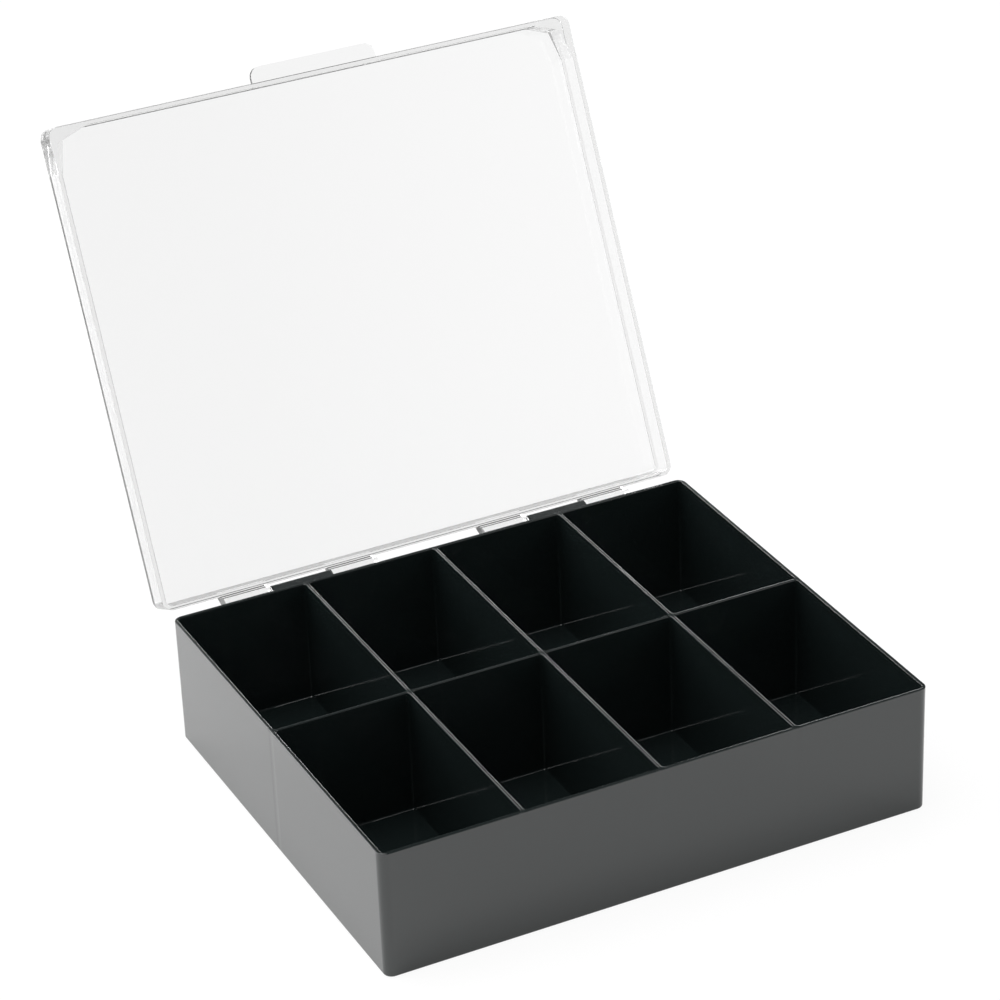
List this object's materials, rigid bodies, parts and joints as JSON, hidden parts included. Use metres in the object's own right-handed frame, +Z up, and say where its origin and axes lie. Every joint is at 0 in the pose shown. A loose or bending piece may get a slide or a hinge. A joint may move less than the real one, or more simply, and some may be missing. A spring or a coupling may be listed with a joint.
{
  "type": "tea bag organizer box",
  "caption": "Shallow box divided into compartments for tea bags, with a clear hinged lid that has a finger tab and stays open leaning back.",
  "frame": {"origin": "centre of the base's footprint, on its underside", "axes": "+X along the hinge and the long side, -Y towards the front with the finger tab, +Z up"},
  "size_m": [0.29, 0.3753, 0.2958],
  "materials": {
    "black_plastic": "gloss",
    "clear_plastic": "gloss"
  },
  "bodies": {
    "base": {"base": "black_plastic"},
    "lid": {"lid": "clear_plastic"}
  },
  "joints": [
    {"name": "lid_hinge", "type": "hinge", "parent": "base", "child": "lid", "pos_m": [0, 0.12585, 0.0644], "axis": [1, 0, 0], "range_deg": [0, 115.9]}
  ]
}
